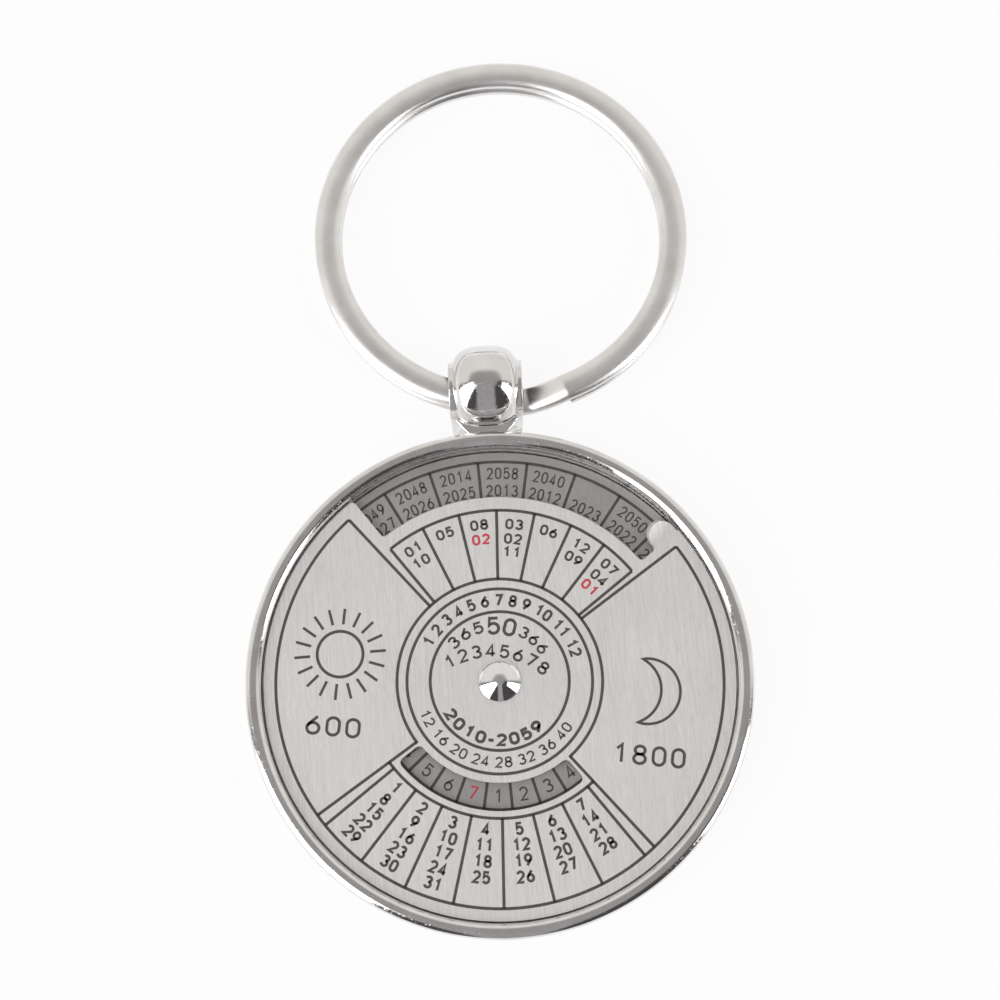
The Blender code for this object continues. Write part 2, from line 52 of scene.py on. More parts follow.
# Case and bail
CASE_RADIUS = 20.0
CASE_HEIGHT = 4.4
RIM_WIDTH = 1.25
RIM_POWER = 2.6
WALL_BULGE = 0.15
BACK_EDGE_RADIUS = 0.9
FLOOR_TOP = 1.5
FLOOR_FILLET = 0.25
SEAT_RADIUS = 18.66
SEAT_TOP = 3.2
SEAT_EASE = 0.12
POCKET_RADIUS = 2.6
POCKET_FLOOR = 0.6
BAIL_RADIUS = 3.22
BAIL_WIDTH = 5.6
BAIL_POWER = 3.0
BAIL_CENTRE = (0, 23.95, 3.32)
BORE_CENTRE = (0, 23.65, 3.07)
BORE_RADIUS = 2.07
BORE_MOUTH_RADIUS = 2.14
SLEEVE_RADIUS = 2.3
SLEEVE_WIDTH = 5.92
NECK_SHOULDER = 0.45
CAST_VOXEL = 0.055

# Plates and rivet
PLATE_RADIUS = 18.6
HOLE_RADIUS = 1.0
YEAR_PLATE_TOP = 2.4
DATE_PLATE_BOTTOM = 2.9
DATE_PLATE_TOP = 3.5
YEAR_PLATE_TURN = 3.45
DATE_PLATE_TURN = 8.1
EDGE_ROUNDING = 0.11
LEVEL_FACE = 0.9999
YEAR_WINDOW_INNER = 14.7
YEAR_WINDOW_HALF = 44.5
YEAR_WINDOW_CORNER = 0.35
DAY_WINDOW_INNER = 7.97
DAY_WINDOW_OUTER = 10.17
DAY_WINDOW_HALF = 46.25
DAY_WINDOW_CORNER = 0.45
TAB_HALF = 1.12
TAB_CENTRE_RADIUS = 17.39
TAB_REACH = 1.7
TAB_ROOT = 0.5
TAB_FILLET = 0.45
TAB_THICKNESS = 0.58
TAB_RISE = 0.45
RIVET_HEAD_RADIUS = 1.65
RIVET_HEAD_HEIGHT = 0.76
RIVET_SHANK_RADIUS = 0.85
RIVET_SEAT_GAP = 0.1
TAIL_TOP = 1.4
TAIL_RADIUS = 1.45
TAIL_ROUNDING = 0.25
TAIL_BORE = 0.45
TAIL_BORE_TOP = 1.7
RIVET_BOTTOM = 0.9

# Split ring
RING_RADIUS = 15.3
RING_PLACE = (0, 22.75, 3.07)
WIRE_WIDTH = 2.2
WIRE_THICKNESS = 1.06
TURN_PITCH = 1.14
WIRE_POWER = 2.35
TOP_END = 10.9
STEP_FOOT = 13.1
STEP_EASE = 0.1
LOWER_END = 26.9
RING_LEAN = 7.5
RING_TABLE_GAP = 0.05
UPPER_SHEAR = 0.3
UPPER_SHEAR_SKEW = 0.18
LOWER_SHEAR = 0.2

# Print
LINE_WIDTH = 0.24
FINE_LINE = 0.22
INK_RISE = 0.004
CELL = 360 / 28
YEAR_CELL_OUTER = 17.82
YEAR_CELL_INNER = 14.2
YEAR_ROWS = (16.88, 15.46)
DAY_CELL_OUTER = 10.02
DAY_CELL_INNER = 7.6
DAY_ROW = 8.95
HUB_RINGS = (5.47, 7.3)
BOX_INNER = 8.09
BOX_OUTER = 17.63
MONTH_OUTER = 13.64
MONTH_ROWS = (12.55, 11.37, 10.3)
DATE_INNER = 10.73
DATE_FIRST_ROW = 11.6
DATE_ROW_STEP = 1.235
DATE_SIDES = (131.8, 228.2)
RIGHT_SIDE = 47.4
LEFT_SIDE = 48.4
SUN_CENTRE = (-12.74, 0.93)
SUN_RADIUS = 1.81
SUN_RAY = (2.37, 3.63)
SUN_RAYS = 18
CRESCENT_X = 11.05
CRESCENT_Y = 0.245
CRESCENT_HALF = 2.505
CRESCENT_OUTER_REACH = 3.17
CRESCENT_INNER_REACH = 1.67

# Studio
FLOOR_HALF = 3000
FLOOR_DROP = 0.02
WHITE_TO_CAMERA = 0.9
WHITE_IN_METAL = 0.7
PANEL_LEVEL = 3.6
PANEL_BLUR = 0.04
PANEL_TOP_BLUR = 0.03

# Camera
CAMERA_AIM = (0.72, 15.13, 0)
CAMERA_DISTANCE = 175.0
CAMERA_TILT = 10.9
CAMERA_ROLL = 2.77
CAMERA_LENS = 77.2


class Nodes:
    """A node tree that is built from code."""

    def __init__(self, tree):
        self.nodes = tree.nodes
        self.links = tree.links

    def add(self, kind, settings=None, **inputs):
        """Add a node. Inputs are numbers or the outputs of other nodes."""
        node = self.nodes.new(kind)
        for key, value in (settings or {}).items():
            setattr(node, key, value)
        for key, value in inputs.items():
            socket = node.inputs[int(key[1:])] if key[0] == "n" and key[1:].isdigit() else node.inputs[key]
            if isinstance(value, bpy.types.NodeSocket):
                self.links.new(value, socket)
            else:
                socket.default_value = value
        return node

    def maths(self, operation, first, second=0.0):
        """One step of arithmetic."""
        return self.add("ShaderNodeMath", {"operation": operation}, n0=first, n1=second).outputs[0]

    def step(self, value, low, high, start=0.0, end=1.0):
        """Rise smoothly from one value to another."""
        settings = {"interpolation_type": "SMOOTHSTEP"}
        node = self.add("ShaderNodeMapRange", settings, Value=value, n1=low, n2=high, n3=start, n4=end)
        return node.outputs[0]

    def blend(self, share, first, second):
        """Mix two colours, given as outputs or as numbers."""
        colours = []
        for colour in (first, second):
            colours.append(colour if isinstance(colour, bpy.types.NodeSocket) else (*colour, 1))
        node = self.add("ShaderNodeMix", {"data_type": "RGBA"}, n0=share, n6=colours[0], n7=colours[1])
        return node.outputs[2]


class Shader(Nodes):
    """A Principled material and the nodes that feed it."""

    def __init__(self, name, colour, roughness, metallic):
        self.material = bpy.data.materials.new(name)
        self.material.use_nodes = True
        super().__init__(self.material.node_tree)
        self.main = self.nodes["Principled BSDF"]
        self.main.inputs["Base Color"].default_value = (*colour, 1)
        self.main.inputs["Roughness"].default_value = roughness
        self.main.inputs["Metallic"].default_value = metallic
        self.material.diffuse_color = (*colour, 1)
        self.last_bump = None

    def place(self, scale, turn=0):
        """Object coordinates, turned clockwise about Z and scaled to cycles per metre."""
        source = self.add("ShaderNodeTexCoord").outputs["Object"]
        turned = self.add("ShaderNodeMapping", Vector=source, Rotation=(0, 0, math.radians(turn)))
        return self.add("ShaderNodeMapping", Vector=turned.outputs[0], Scale=scale).outputs[0]

    def noise(self, place, detail=3.0, rough=0.55):
        """Noise from 0 to 1 at a place."""
        node = self.add("ShaderNodeTexNoise", Vector=place, Scale=1.0, Detail=detail, Roughness=rough)
        return node.outputs[0]

    def spread(self, value, low, high, start=0.0, end=1.0):
        """Map a value from one range to another."""
        node = self.add("ShaderNodeMapRange", Value=value, n1=low, n2=high, n3=start, n4=end)
        return node.outputs[0]

    def tint(self, value, dark, light):
        """Blend the base colour between two colours."""
        self.links.new(self.blend(value, dark, light), self.main.inputs["Base Color"])

    def rough(self, value):
        """Drive the roughness."""
        self.links.new(value, self.main.inputs["Roughness"])

    def bump(self, height, depth, strength=1.0):
        """Add a bump of a depth in millimetres, on top of the earlier ones."""
        node = self.add("ShaderNodeBump", Height=height, Distance=depth * MM, Strength=strength)
        if self.last_bump:
            self.links.new(self.last_bump, node.inputs["Normal"])
        self.last_bump = node.outputs[0]
        self.links.new(self.last_bump, self.main.inputs["Normal"])


def chrome_cast():
    """Chrome over a polished die casting, with waves, pits and soft wear."""
    shader = Shader("chrome_cast_fine", (0.80, 0.79, 0.78), 0.1, 1.0)
    waves = shader.noise(shader.place((420, 420, 420)), 2)
    grain = shader.noise(shader.place((5200, 5200, 5200)), 4)
    shader.tint(shader.spread(waves, 0.3, 0.7), (0.76, 0.745, 0.735), (0.86, 0.855, 0.85))
    shader.rough(shader.spread(grain, 0.3, 0.8, 0.06, 0.17))
    shader.bump(waves, 0.018)
    shader.bump(shader.spread(grain, 0.62, 0.75), 0.004)
    return shader.material


def brushed_steel():
    """Light steel brushed along one direction."""
    shader = Shader("steel_brushed_fine", (0.76, 0.75, 0.74), 0.45, 0.55)
    fine = shader.noise(shader.place((9500, 1200, 1200), -2.5), 4, 0.6)
    long = shader.noise(shader.place((5200, 230, 230), -2.5), 3, 0.6)
    cloud = shader.noise(shader.place((160, 160, 160)), 2)
    both = shader.maths("ADD", fine, long)
    shader.tint(shader.spread(both, 0.72, 1.28), (0.69, 0.68, 0.675), (0.81, 0.80, 0.795))
    shader.rough(shader.spread(cloud, 0.3, 0.7, 0.42, 0.48))
    shader.bump(both, 0.0035)
    return shader.material


def satin_steel():
    """Steel with a fine satin, its colour painted darker as shade."""
    shader = Shader("steel_satin_painted_shade", (0.45, 0.44, 0.435), 0.5, 1.0)
    fine = shader.noise(shader.place((9000, 900, 900), -2.5), 4, 0.6)
    cloud = shader.noise(shader.place((260, 260, 260)), 3)
    # Painted shade: the dark grey base stands in for the plate's dimmer light beneath the upper plate
    shader.tint(shader.spread(fine, 0.3, 0.7), (0.42, 0.41, 0.407), (0.49, 0.48, 0.477))
    shader.rough(shader.spread(cloud, 0.3, 0.7, 0.45, 0.55))
    shader.bump(fine, 0.003)
    return shader.material


def mirror_chrome():
    """The rivet's bright chrome, with hairline scratches."""
    shader = Shader("chrome_rivet_fine", (0.86, 0.86, 0.86), 0.05, 1.0)
    marks = shader.noise(shader.place((2600, 2600, 2600)), 4)
    shader.tint(shader.spread(marks, 0.3, 0.7), (0.83, 0.83, 0.83), (0.89, 0.89, 0.89))
    shader.rough(shader.spread(marks, 0.35, 0.8, 0.035, 0.11))
    shader.bump(marks, 0.0015)
    return shader.material


def ring_steel():
    """Nickel-plated spring wire, lightly rubbed by keys."""
    shader = Shader("steel_ring_fine", (0.84, 0.83, 0.82), 0.24, 1.0)
    waves = shader.noise(shader.place((500, 500, 500)), 2)
    rub = shader.noise(shader.place((2600, 2600, 2600)), 3)
    shader.tint(shader.spread(waves, 0.3, 0.7), (0.80, 0.78, 0.765), (0.88, 0.875, 0.87))
    shader.rough(shader.spread(rub, 0.3, 0.8, 0.29, 0.34))
    shader.bump(waves, 0.004)
    return shader.material


def edge_steel():
    """The bright stamped edges of the plate."""
    shader = Shader("steel_edge_fine", (0.88, 0.87, 0.86), 0.2, 1.0)
    marks = shader.noise(shader.place((5000, 5000, 900)), 3)
    shader.tint(shader.spread(marks, 0.3, 0.7), (0.84, 0.83, 0.82), (0.92, 0.91, 0.90))
    shader.rough(shader.spread(marks, 0.3, 0.7, 0.16, 0.26))
    shader.bump(marks, 0.001)
    return shader.material


def cut_steel():
    """The sheared ends of the wire, painted near black as the shade that lies on them."""
    shader = Shader("steel_cut_end_painted_shade", (0.16, 0.14, 0.135), 0.5, 1.0)
    marks = shader.noise(shader.place((3000, 3000, 14000)), 4)
    # Painted shade: the near-black base stands in for the shade on the cut faces
    shader.tint(shader.spread(marks, 0.3, 0.7), (0.10, 0.09, 0.085), (0.24, 0.22, 0.21))
    shader.bump(marks, 0.01)
    return shader.material


def ink(name, colour, worn):
    """Printed ink, a little thin in places."""
    shader = Shader(name, colour, 0.5, 0.0)
    thin = shader.noise(shader.place((5200, 5200, 5200)), 4)
    shader.tint(shader.spread(thin, 0.4, 0.8), colour, worn)
    shader.rough(shader.spread(thin, 0.3, 0.7, 0.42, 0.6))
    shader.bump(thin, 0.001)
    return shader.material


def plain_finish(name, dark, light, roughness, metallic, scale):
    """A quiet finish for the pieces inside the stack."""
    shader = Shader(name, light, roughness, metallic)
    marks = shader.noise(shader.place((scale, scale, scale)), 4)
    shader.tint(shader.spread(marks, 0.3, 0.7), dark, light)
    shader.rough(shader.spread(marks, 0.3, 0.7, roughness * 0.85, roughness))
    shader.bump(marks, 0.006)
    return shader.material


def as_object(name, mesh, material, smooth_angle=32):
    """Link a mesh as an object with a material and smooth shading up to an angle."""
    thing = bpy.data.objects.new(name, mesh)
    bpy.context.scene.collection.objects.link(thing)
    mesh.materials.clear()
    mesh.materials.append(material)
    if smooth_angle:
        mesh.shade_smooth()
        mesh.set_sharp_from_angle(angle=math.radians(smooth_angle))
    return thing


def mesh_of(name, points, faces):
    """Make a mesh from points in millimetres."""
    mesh = bpy.data.meshes.new(name)
    mesh.from_pydata([Vector(point) * MM for point in points], [], faces)
    mesh.update()
    return mesh


def closed_mesh(name, points, faces):
    """Make a mesh from points in millimetres, with its normals turned outwards."""
    mesh = mesh_of(name, points, faces)
    shape = bmesh.new()
    shape.from_mesh(mesh)
    bmesh.ops.remove_doubles(shape, verts=shape.verts, dist=0.0005 * MM)
    bmesh.ops.recalc_face_normals(shape, faces=shape.faces)
    shape.to_mesh(mesh)
    shape.free()
    return mesh


def revolved(name, profile, steps, frame_matrix=None):
    """Turn a profile of (radius, height) points from axis to axis into a closed mesh."""
    points = []
    rings = []
    for radius, height in profile:
        if radius < 1e-6:
            rings.append([len(points)])
            points.append(Vector((0, 0, height)))
            continue
        rings.append(list(range(len(points), len(points) + steps)))
        for index in range(steps):
            turn = math.tau * index / steps
            points.append(Vector((radius * math.cos(turn), radius * math.sin(turn), height)))
    faces = []
    for first, second in zip(rings, rings[1:]):
        for index in range(steps):
            after = (index + 1) % steps
            if len(first) == 1:
                faces.append((first[0], second[index], second[after]))
            elif len(second) == 1:
                faces.append((first[index], second[0], first[after]))
            else:
                faces.append((first[index], second[index], second[after], first[after]))
    if frame_matrix:
        points = [frame_matrix @ point for point in points]
    return closed_mesh(name, points, faces)


def around_x(centre):
    """Matrix that lays a turned shape along X at a centre."""
    return Matrix.Translation(centre) @ Matrix.Rotation(math.radians(90), 4, "Y")


def polar(radius, angle):
    """The (x, y) point at a radius and an angle anticlockwise from +X."""
    turn = math.radians(angle)
    return (radius * math.cos(turn), radius * math.sin(turn))


def arc(centre, radius, start, end, steps):
    """Points along an arc, both ends included."""
    points = []
    for index in range(steps + 1):
        x, y = polar(radius, start + (end - start) * index / steps)
        points.append((centre[0] + x, centre[1] + y))
    return points


def joined(thing, tool, operation):
    """Combine an object with a tool by a Boolean, and remove the tool."""
    boolean = thing.modifiers.new("Combine", "BOOLEAN")
    boolean.operation = operation
    boolean.solver = "EXACT"
    boolean.object = tool
    baked(thing)
    bpy.data.objects.remove(tool, do_unlink=True)


def baked(thing):
    """Apply an object's modifiers."""
    bpy.context.view_layer.update()
    depsgraph = bpy.context.evaluated_depsgraph_get()
    mesh = bpy.data.meshes.new_from_object(thing.evaluated_get(depsgraph))
    thing.modifiers.clear()
    thing.data = mesh


def prism(name, outline, bottom, top, material):
    """Raise a flat outline into a closed prism."""
    count = len(outline)
    points = [(x, y, bottom) for x, y in outline] + [(x, y, top) for x, y in outline]
    faces = [tuple(range(count)), tuple(range(2 * count - 1, count - 1, -1))]
    for index in range(count):
        after = (index + 1) % count
        faces.append((index, index + count, after + count, after))
    return as_object(name, closed_mesh(name, points, faces), material, 0)


def make_dish(material):
    """The dish: pocketed floor, wall that steps out by the plates, half-round rim, bulged side, flat back."""
    bead = RIM_WIDTH / 2
    bead_height = CASE_HEIGHT - bead
    wall = CASE_RADIUS - RIM_WIDTH
    foot = CASE_RADIUS - WALL_BULGE
    profile = [(0, POCKET_FLOOR), (POCKET_RADIUS, POCKET_FLOOR), (POCKET_RADIUS, FLOOR_TOP)]
    profile += arc((SEAT_RADIUS - FLOOR_FILLET, FLOOR_TOP + FLOOR_FILLET), FLOOR_FILLET, -90, 0, 5)
    profile += [(SEAT_RADIUS, SEAT_TOP), (wall, SEAT_TOP + SEAT_EASE)]
    for radius, along in reversed(superellipse(bead, bead, RIM_POWER, 40)):
        profile.append((CASE_RADIUS - bead + along, bead_height + radius))
    for index in range(1, 8):
        share = index / 8
        height = bead_height + (BACK_EDGE_RADIUS - bead_height) * share
        profile.append((CASE_RADIUS - WALL_BULGE * share ** 2, height))
    profile += arc((foot - BACK_EDGE_RADIUS, BACK_EDGE_RADIUS), BACK_EDGE_RADIUS, 0, -90, 14)
    profile.append((0, 0))
    dish = as_object("case_dish", revolved("case_dish", profile, 288), material)
    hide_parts("case")
    return dish


def superellipse(half_width, radius, power, steps):
    """Half section of a bead, as (radius, along) points."""
    profile = []
    for index in range(steps + 1):
        turn = math.pi * index / steps
        across = abs(math.sin(turn)) ** (2 / power)
        along = math.copysign(abs(math.cos(turn)) ** (2 / power), math.cos(turn))
        profile.append((radius * across, half_width * along))
    profile[0] = (0, half_width)
    profile[-1] = (0, -half_width)
    return profile


def make_neck(material):
    """The neck between rim and bail, whose flanks slope out to the bail's full width."""
    stations = [
        (19.35, 1.3, 2.7, 2.9),
        (20.0, 1.4, 2.75, 2.9),
        (20.75, 2.1, 2.85, 2.9),
        (21.6, 2.75, 2.93, 2.95),
        (22.9, 2.85, 2.95, 3.1),
    ]
    bottom = BORE_CENTRE[2] - SLEEVE_RADIUS
    points = []
    for y, top_half, base_half, top in stations:
        shoulder = bottom + NECK_SHOULDER * (top - bottom)
        points += [(-base_half, y, bottom), (-base_half, y, shoulder), (-top_half, y, top)]
        points += [(top_half, y, top), (base_half, y, shoulder), (base_half, y, bottom)]
    faces = [(0, 1, 2, 3, 4, 5), tuple(range(29, 23, -1))]
    for row in range(4):
        for index in range(6):
            after = (index + 1) % 6
            faces.append((row * 6 + index, row * 6 + 6 + index, row * 6 + 6 + after, row * 6 + after))
    return as_object("neck", closed_mesh("neck", points, faces), material, 0)


def make_bail(material):
    """The cast bail: bead, sleeve and neck melted together, with the flared bore."""
    bead_profile = superellipse(BAIL_WIDTH / 2, BAIL_RADIUS, BAIL_POWER, 64)
    bail = as_object("case_bail", revolved("case_bail", bead_profile, 96, around_x(BAIL_CENTRE)), material)
    half = SLEEVE_WIDTH / 2
    sleeve_profile = [(0, half), (SLEEVE_RADIUS, half), (SLEEVE_RADIUS, -half), (0, -half)]
    sleeve = as_object("sleeve", revolved("sleeve", sleeve_profile, 96, around_x(BORE_CENTRE)), material)
    joined(bail, sleeve, "UNION")
    joined(bail, make_neck(material), "UNION")
    reach = BAIL_WIDTH / 2 + 0.4
    bore_profile = [(0, reach)]
    for index in range(17):
        along = reach * (1 - index / 8)
        share = (along / (BAIL_WIDTH / 2)) ** 2
        bore_profile.append((BORE_RADIUS + (BORE_MOUTH_RADIUS - BORE_RADIUS) * share, along))
    bore_profile.append((0, -reach))
    bore = as_object("bore", revolved("bore", bore_profile, 96, around_x(BORE_CENTRE)), material)
    joined(bail, bore, "DIFFERENCE")
    remesh = bail.modifiers.new("Remesh", "REMESH")
    remesh.mode = "VOXEL"
    remesh.voxel_size = CAST_VOXEL * MM
    smooth = bail.modifiers.new("Soften", "SMOOTH")
    smooth.factor = 0.5
    smooth.iterations = 4
    baked(bail)
    bail.data.shade_smooth()
    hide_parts("case")
    return bail


def year_window():
    """Outline of the year window, open at the plate's edge."""
    inner, corner = YEAR_WINDOW_INNER, YEAR_WINDOW_CORNER
    left, right = 90 + YEAR_WINDOW_HALF, 90 - YEAR_WINDOW_HALF
    inset = math.degrees(math.asin(corner / (inner + corner)))
    outset = math.degrees(math.asin(corner / (PLATE_RADIUS - corner)))
    outline = arc((0, 0), inner, right + inset, left - inset, 90)
    outline += arc(polar(inner + corner, left - inset), corner, left - inset + 180, left + 90, 6)
    outline += arc(polar(PLATE_RADIUS - corner, left + outset), corner, left - 90, left + outset, 6)
    outline += arc((0, 0), PLATE_RADIUS + 0.5, left + outset, right, 90)
    outline += arc(polar(inner + corner, right + inset), corner, right - 90, right + inset - 180, 6)
    return outline[:-1]


def day_window():
    """Outline of the curved window over the weekdays."""
    inner, outer, corner = DAY_WINDOW_INNER, DAY_WINDOW_OUTER, DAY_WINDOW_CORNER
    left, right = 270 - DAY_WINDOW_HALF, 270 + DAY_WINDOW_HALF
    near = math.degrees(math.asin(corner / (inner + corner)))
    far = math.degrees(math.asin(corner / (outer - corner)))
    outline = arc((0, 0), outer, left + far, right - far, 90)
    outline += arc(polar(outer - corner, right - far), corner, right - far, right + 90, 6)[1:]
    outline += arc(polar(inner + corner, right - near), corner, right + 90, right - near + 180, 6)
    outline += arc((0, 0), inner, right - near, left + near, 90)[1:]
    outline += arc(polar(inner + corner, left + near), corner, left + near + 180, left + 270, 6)[1:]
    outline += arc(polar(outer - corner, left + far), corner, left - 90, left + far, 6)[:-1]
    return outline


def tab_sides(distance):
    """Outer and inner side of the thumb tab at a row, with the fillet at the window's end."""
    centre = TAB_HALF - TAB_REACH + TAB_FILLET
    side = math.sqrt((TAB_HALF + TAB_FILLET) ** 2 - centre ** 2)
    contact = centre * TAB_HALF / (TAB_HALF + TAB_FILLET)
    lobe = math.sqrt(max(TAB_HALF ** 2 - distance ** 2, 0))
    outer = -TAB_HALF if distance < 0 else -lobe
    if distance >= contact:
        return outer, lobe
    along = max(distance - centre, -TAB_FILLET)
    return outer, side - math.sqrt(TAB_FILLET ** 2 - along ** 2)


def make_tab(material):
    """The thumb tab, a tongue of the sheet that curls upwards."""
    window_end = TAB_HALF - TAB_REACH
    distances = [window_end - TAB_ROOT]
    distances += [window_end * (1 - index / 16) for index in range(16)]
    distances += [TAB_HALF * math.sin(math.radians(90 * index / 18)) for index in range(19)]
    points = []
    cells = 16
    for level in (-0.5, 0.5):
        for distance in distances:
            outer, inner = tab_sides(distance)
            beyond = max(distance - window_end, 0)
            rise = TAB_RISE * (beyond / TAB_REACH) ** 2
            slope = 2 * TAB_RISE * beyond / TAB_REACH ** 2
            tilt = math.hypot(1, slope)
            for index in range(cells + 1):
                side = outer + (inner - outer) * index / cells
                offset = level * TAB_THICKNESS / tilt
                points.append((distance - slope * offset, side, rise + offset))
    count = len(distances) * (cells + 1)
    faces = []
    for row in range(len(distances) - 1):
        for index in range(cells):
            first = row * (cells + 1) + index
            quad = (first, first + cells + 1, first + cells + 2, first + 1)
            faces.append(quad)
            faces.append(tuple(corner + count for corner in reversed(quad)))
        for index in (0, cells):
            first = row * (cells + 1) + index
            faces.append((first, first + count, first + cells + 1 + count, first + cells + 1))
    for index in range(cells):
        faces.append((index, index + 1, index + 1 + count, index + count))
    angle = 90 - YEAR_WINDOW_HALF + math.degrees((TAB_REACH - TAB_HALF) / TAB_CENTRE_RADIUS)
    x, y = polar(TAB_CENTRE_RADIUS, angle)
    middle = (DATE_PLATE_BOTTOM + DATE_PLATE_TOP) / 2
    place = Matrix.Translation((x, y, middle)) @ Matrix.Rotation(math.radians(angle + 90), 4, "Z")
    points = [place @ Vector(point) for point in points]
    return as_object("tab", closed_mesh("tab", points, faces), material, 0)


def make_date_plate(material, edge_material):
    """The upper plate with its windows and tab, with slightly rounded stamped edges."""
    profile = [(0, DATE_PLATE_BOTTOM), (PLATE_RADIUS, DATE_PLATE_BOTTOM), (PLATE_RADIUS, DATE_PLATE_TOP)]
    profile.append((0, DATE_PLATE_TOP))
    plate = as_object("date_plate_fine", revolved("date_plate_fine", profile, 240), material, 0)
    over, under = DATE_PLATE_TOP + 0.5, DATE_PLATE_BOTTOM - 0.5
    hole = [polar(HOLE_RADIUS, 360 * index / 48) for index in range(48)]
    for outline in (year_window(), day_window(), hole):
        joined(plate, prism("cutter", outline, under, over, material), "DIFFERENCE")
    joined(plate, make_tab(material), "UNION")
    bevel = plate.modifiers.new("Stamped edge", "BEVEL")
    bevel.width = EDGE_ROUNDING * MM
    bevel.segments = 2
    bevel.limit_method = "ANGLE"
    bevel.angle_limit = math.radians(50)
    plate.data.materials.append(edge_material)
    bevel.material = 1
    baked(plate)
    plate.data.transform(Matrix.Rotation(-math.radians(DATE_PLATE_TURN), 4, "Z"))
    plate.data.shade_smooth()
    plate.data.set_sharp_from_angle(angle=math.radians(30))
    # The level faces are shaded flat, which keeps the plate evenly lit
    for face in plate.data.polygons:
        if abs(face.normal.z) > LEVEL_FACE:
            face.use_smooth = False
    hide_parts("date_plate")
    return plate


def make_rivet(material):
    """The domed rivet with its shank and rolled tail."""
    bottom = DATE_PLATE_TOP + RIVET_SEAT_GAP
    sphere = (RIVET_HEAD_RADIUS ** 2 + RIVET_HEAD_HEIGHT ** 2) / (2 * RIVET_HEAD_HEIGHT)
    centre = bottom + RIVET_HEAD_HEIGHT - sphere
    angle = math.degrees(math.asin((RIVET_HEAD_RADIUS - 0.03) / sphere))
    profile = arc((0, centre), sphere, 90, 90 - angle, 24)
    profile[0] = (0, bottom + RIVET_HEAD_HEIGHT)
    profile += [(RIVET_HEAD_RADIUS, bottom + 0.02), (RIVET_HEAD_RADIUS - 0.02, bottom)]
    profile += [(RIVET_SHANK_RADIUS, bottom), (RIVET_SHANK_RADIUS, TAIL_TOP), (TAIL_RADIUS, TAIL_TOP)]
    corner = (TAIL_RADIUS - TAIL_ROUNDING, RIVET_BOTTOM + TAIL_ROUNDING)
    profile += arc(corner, TAIL_ROUNDING, 0, -90, 8)
    profile += [(TAIL_BORE, RIVET_BOTTOM), (TAIL_BORE, TAIL_BORE_TOP), (0, TAIL_BORE_TOP)]
    rivet = as_object("rivet_fine", revolved("rivet_fine", profile, 96), material)
    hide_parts("rivet")
    return rivet


def wire_height(turn):
    """Height of the wire: upper turn, an even step down with eased ends, lower turn."""
    start, end = LOWER_END - 360, STEP_FOOT - 360
    share = min(max((start - turn) / (start - end), 0), 1)
    nearer = min(share, 1 - share)
    fall = nearer ** 2 / (2 * STEP_EASE) if nearer < STEP_EASE else nearer - STEP_EASE / 2
    fall = fall / (1 - STEP_EASE)
    return TURN_PITCH * (0.5 - (fall if share < 0.5 else 1 - fall))


def make_split_ring(material, shaded_cut_material):
    """The split ring: one flattened wire in two close turns, with a step and sheared ends."""
    circle = RING_RADIUS - WIRE_WIDTH / 2
    start, step_start, step_end, end = TOP_END, LOWER_END - 360, STEP_FOOT - 360, LOWER_END - 720
    turns = []
    for first, last, step in ((start, step_start, 1.5), (step_start, step_end, 0.5), (step_end, end, 1.5)):
        count = math.ceil((first - last) / step)
        turns += [first + (last - first) * index / count for index in range(count)]
    turns.append(end)
    section = []
    for index in range(32):
        turn = math.tau * index / 32
        wide = math.copysign(abs(math.cos(turn)) ** (2 / WIRE_POWER), math.cos(turn))
        thick = math.copysign(abs(math.sin(turn)) ** (2 / WIRE_POWER), math.sin(turn))
        section.append((WIRE_WIDTH / 2 * wide, WIRE_THICKNESS / 2 * thick))
    points = []
    for place, turn in enumerate(turns):
        for wide, thick in section:
            shift = 0
            if place == 0:
                shift = (0.5 - thick / WIRE_THICKNESS) * (UPPER_SHEAR - UPPER_SHEAR_SKEW * wide)
            if place == len(turns) - 1:
                shift = -LOWER_SHEAR * thick
            x, y = polar(circle + wide, turn + math.degrees(shift / circle) - 90)
            points.append(Vector((x, y + circle, wire_height(turn) + thick)))
    sides = len(section)
    faces = []
    for row in range(len(turns) - 1):
        for index in range(sides):
            after = (index + 1) % sides
            first = row * sides
            faces.append((first + index, first + after, first + sides + after, first + sides + index))
    faces.append(tuple(range(sides)))
    faces.append(tuple(range(len(points) - sides, len(points))))
    reach = 2 * circle + WIRE_WIDTH / 2
    half = (WIRE_THICKNESS + TURN_PITCH) / 2
    fall = RING_PLACE[2] - RING_TABLE_GAP
    drop = math.asin(fall / math.hypot(reach, half)) - math.atan2(half, reach)
    place = Matrix.Translation(RING_PLACE) @ Matrix.Rotation(-math.radians(RING_LEAN), 4, "Z")
    place = place @ Matrix.Rotation(-drop, 4, "X")
    mesh = closed_mesh("split_ring_fine", [place @ point for point in points], faces)
    ring = as_object("split_ring_fine", mesh, material)
    mesh.materials.append(shaded_cut_material)
    # The sheared end faces take the second material, painted dark as shade
    for face in mesh.polygons:
        if len(face.vertices) > 4:
            face.material_index = 1
            face.use_smooth = False
    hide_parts("split_ring")
    return ring


def loop(cx, cy, rx, ry, start, end, steps=14):
    """Points of an elliptic arc, in a glyph's unit box."""
    points = []
    for index in range(steps + 1):
        turn = math.radians(start + (end - start) * index / steps)
        points.append((cx + rx * math.cos(turn), cy + ry * math.sin(turn)))
    return points


